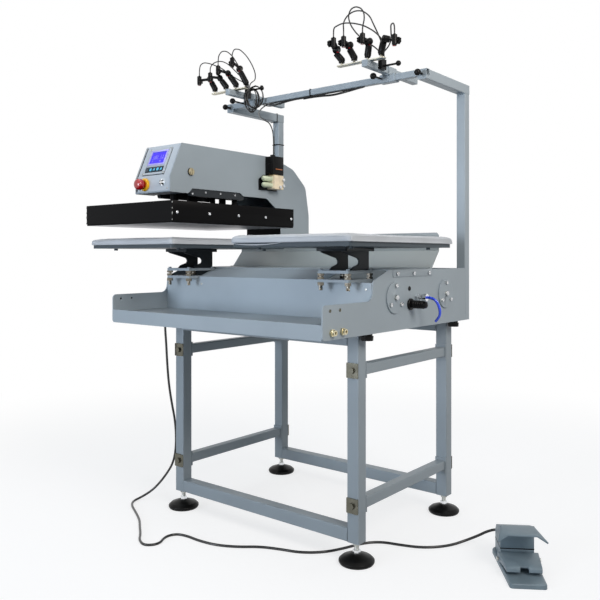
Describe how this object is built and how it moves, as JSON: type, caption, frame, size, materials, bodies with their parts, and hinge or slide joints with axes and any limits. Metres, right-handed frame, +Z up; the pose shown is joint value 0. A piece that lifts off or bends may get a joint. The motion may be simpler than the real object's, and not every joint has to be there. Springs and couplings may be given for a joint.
{
  "type": "pneumatic heat press",
  "caption": "Shuttle heat press: a swan-neck head slides its heated platen between padded platens on a tube stand, with line-laser guides, a tool tray and a foot pedal.",
  "frame": {"origin": "on the floor, midway between the stand's feet", "axes": "+Z up, front towards -Y, +X to the right of someone who stands in front"},
  "size_m": [1.3178, 0.8432, 1.5557],
  "materials": {
    "machine_paint": "satin powder coat",
    "gantry_paint": "satin powder coat",
    "zinc_plate": "zinc plated",
    "ground_steel": "ground and hard chromed",
    "cylinder_alloy": "anodised",
    "black_rubber": "matte",
    "fitting_metal": "nickel plated",
    "blue_hose": "translucent tube",
    "pedestal_metal": "satin",
    "steel_plate": "brushed",
    "platen_cloth": "smooth coated cloth",
    "head_metal": "satin powder coat",
    "controller": "moulded bezel with a screen and keys",
    "stop_ring": "moulded ring and plated fittings",
    "ivory_plastic": "moulded",
    "stop_red": "gloss",
    "button_chrome": "polished",
    "cover_black": "satin black",
    "heater_alloy": "machined",
    "press_steel": "ground",
    "laser_black": "anodised black with red lenses",
    "knob_black": "gloss",
    "saddle_metal": "satin",
    "pedal_cast": "painted casting"
  },
  "bodies": {
    "stand": {"stand_legs": "machine_paint", "stand_rails": "machine_paint", "stand_joint_plates": "zinc_plate", "base_pan": "machine_paint", "side_panel_left": "machine_paint", "side_panel_right": "machine_paint", "front_housing": "machine_paint", "tray_shelf": "machine_paint", "base_top_cover": "machine_paint", "rail_guard": "machine_paint", "guide_shafts": "ground_steel", "shaft_end_covers": "machine_paint", "drive_cylinder": "cylinder_alloy", "base_rubber_feet": "black_rubber", "air_fittings": "fitting_metal", "supply_hose": "blue_hose", "pedestals": "pedestal_metal", "lower_platens": "steel_plate", "platen_pad_left": "platen_cloth", "platen_pad_right": "platen_cloth", "gantry_tubes": "gantry_paint", "lead_run": "black_rubber", "pedal_base": "pedal_cast", "pedal_housing": "pedal_cast", "pedal_hinge": "zinc_plate", "pedal_cord": "black_rubber"},
    "head": {"carriage": "steel_plate", "head_shell": "head_metal", "display_unit": "controller", "head_fittings": "stop_ring", "press_cylinder": "cylinder_alloy", "valve_unit": "ivory_plastic"},
    "platen": {"upper_platen_cover": "cover_black", "heater_plate": "heater_alloy", "press_rods": "press_steel"},
    "stop_button": {"estop_button": "stop_red"},
    "start_button": {"start_button": "button_chrome"},
    "treadle": {"pedal_treadle": "pedal_cast"},
    "foot_front_left": {"foot_front_left": "black_rubber"},
    "foot_front_right": {"foot_front_right": "black_rubber"},
    "foot_rear_left": {"foot_rear_left": "black_rubber"},
    "foot_rear_right": {"foot_rear_right": "black_rubber"},
    "gantry_knob_left": {"gantry_knob_left": "knob_black"},
    "saddle_left": {"saddle_left": "saddle_metal"},
    "saddle_knob_left": {"saddle_knob_left": "knob_black"},
    "laser_arm_left": {"laser_arm_left": "gantry_paint", "laser_leads_left": "black_rubber"},
    "laser_left_1": {"laser_left_1": "laser_black"},
    "laser_left_2": {"laser_left_2": "laser_black"},
    "laser_left_3": {"laser_left_3": "laser_black"},
    "laser_left_4": {"laser_left_4": "laser_black"},
    "gantry_knob_right": {"gantry_knob_right": "knob_black"},
    "saddle_right": {"saddle_right": "saddle_metal"},
    "saddle_knob_right": {"saddle_knob_right": "knob_black"},
    "laser_arm_right": {"laser_arm_right": "gantry_paint", "laser_leads_right": "black_rubber"},
    "laser_right_1": {"laser_right_1": "laser_black"},
    "laser_right_2": {"laser_right_2": "laser_black"},
    "laser_right_3": {"laser_right_3": "laser_black"},
    "laser_right_4": {"laser_right_4": "laser_black"}
  },
  "joints": [
    {"name": "head_shuttle", "type": "slide", "parent": "stand", "child": "head", "axis": [1, 0, 0], "range_m": [0, 0.6172]},
    {"name": "platen_press", "type": "slide", "parent": "head", "child": "platen", "axis": [0, 0, 1], "range_m": [-0.038, 0]},
    {"name": "stop_push", "type": "slide", "parent": "head", "child": "stop_button", "axis": [0, 1, 0], "range_m": [0, 0.005], "stiffness_N_per_m": 600, "springref_m": -0.002},
    {"name": "start_push", "type": "slide", "parent": "head", "child": "start_button", "axis": [0, 1, 0], "range_m": [0, 0.002], "stiffness_N_per_m": 600, "springref_m": -0.002},
    {"name": "treadle_tilt", "type": "hinge", "parent": "stand", "child": "treadle", "pos_m": [0.6976, -0.00292, 0.022], "axis": [0.8348, 0.5505, 0], "range_deg": [0, 5], "stiffness_Nm_per_rad": 4, "springref_deg": -5.73},
    {"name": "foot_front_left_turn", "type": "hinge", "parent": "stand", "child": "foot_front_left", "pos_m": [-0.3455, -0.249, 0.04], "axis": [0, 0, 1], "continuous": true},
    {"name": "foot_front_right_turn", "type": "hinge", "parent": "stand", "child": "foot_front_right", "pos_m": [0.3455, -0.249, 0.04], "axis": [0, 0, 1], "continuous": true},
    {"name": "foot_rear_left_turn", "type": "hinge", "parent": "stand", "child": "foot_rear_left", "pos_m": [-0.3455, 0.249, 0.04], "axis": [0, 0, 1], "continuous": true},
    {"name": "foot_rear_right_turn", "type": "hinge", "parent": "stand", "child": "foot_rear_right", "pos_m": [0.3455, 0.249, 0.04], "axis": [0, 0, 1], "continuous": true},
    {"name": "gantry_knob_left_turn", "type": "hinge", "parent": "stand", "child": "gantry_knob_left", "pos_m": [-0.39415, 0.01, 1.36665], "axis": [0, 1, 0], "continuous": true},
    {"name": "saddle_left_slide", "type": "slide", "parent": "stand", "child": "saddle_left", "axis": [1, 0, 0], "range_m": [-0.055, 0]},
    {"name": "saddle_knob_left_turn", "type": "hinge", "parent": "saddle_left", "child": "saddle_knob_left", "pos_m": [-0.319, 0.01, 1.372], "axis": [0, 1, 0], "continuous": true},
    {"name": "laser_arm_left_slide", "type": "slide", "parent": "saddle_left", "child": "laser_arm_left", "axis": [0, 1, 0], "range_m": [-0.04, 0]},
    {"name": "laser_left_1_tilt", "type": "hinge", "parent": "laser_arm_left", "child": "laser_left_1", "pos_m": [-0.401, -0.076, 1.4541], "axis": [0.5787, -0.8155, 0], "range_deg": [-12, 12], "deforming": ["laser_leads_left"]},
    {"name": "laser_left_2_tilt", "type": "hinge", "parent": "laser_arm_left", "child": "laser_left_2", "pos_m": [-0.351, -0.076, 1.4511], "axis": [0.6459, -0.7634, 0], "range_deg": [-12, 12], "deforming": ["laser_leads_left"]},
    {"name": "laser_left_3_tilt", "type": "hinge", "parent": "laser_arm_left", "child": "laser_left_3", "pos_m": [-0.311, -0.076, 1.4611], "axis": [0.6317, -0.7752, 0], "range_deg": [-12, 12], "deforming": ["laser_leads_left"]},
    {"name": "laser_left_4_tilt", "type": "hinge", "parent": "laser_arm_left", "child": "laser_left_4", "pos_m": [-0.256, -0.076, 1.4681], "axis": [0.8437, -0.5369, 0], "range_deg": [-12, 12], "deforming": ["laser_leads_left"]},
    {"name": "gantry_knob_right_turn", "type": "hinge", "parent": "stand", "child": "gantry_knob_right", "pos_m": [0.39415, 0.01, 1.36665], "axis": [0, 1, 0], "continuous": true},
    {"name": "saddle_right_slide", "type": "slide", "parent": "stand", "child": "saddle_right", "axis": [1, 0, 0], "range_m": [-0.04, 0.07]},
    {"name": "saddle_knob_right_turn", "type": "hinge", "parent": "saddle_right", "child": "saddle_knob_right", "pos_m": [0.256, 0.01, 1.372], "axis": [0, 1, 0], "continuous": true},
    {"name": "laser_arm_right_slide", "type": "slide", "parent": "saddle_right", "child": "laser_arm_right", "axis": [0, 1, 0], "range_m": [-0.04, 0]},
    {"name": "laser_right_1_tilt", "type": "hinge", "parent": "laser_arm_right", "child": "laser_right_1", "pos_m": [0.17, -0.099, 1.4521], "axis": [0.9945, 0.1047, 0], "range_deg": [-12, 12], "deforming": ["laser_leads_right"]},
    {"name": "laser_right_2_tilt", "type": "hinge", "parent": "laser_arm_right", "child": "laser_right_2", "pos_m": [0.216, -0.099, 1.4561], "axis": [0.9383, -0.3457, 0], "range_deg": [-12, 12], "deforming": ["laser_leads_right"]},
    {"name": "laser_right_3_tilt", "type": "hinge", "parent": "laser_arm_right", "child": "laser_right_3", "pos_m": [0.285, -0.099, 1.4541], "axis": [0.9285, -0.3714, 0], "range_deg": [-12, 12], "deforming": ["laser_leads_right"]},
    {"name": "laser_right_4_tilt", "type": "hinge", "parent": "laser_arm_right", "child": "laser_right_4", "pos_m": [0.345, -0.099, 1.4511], "axis": [0.4472, 0.8944, 0], "range_deg": [-12, 12], "deforming": ["laser_leads_right"]}
  ]
}
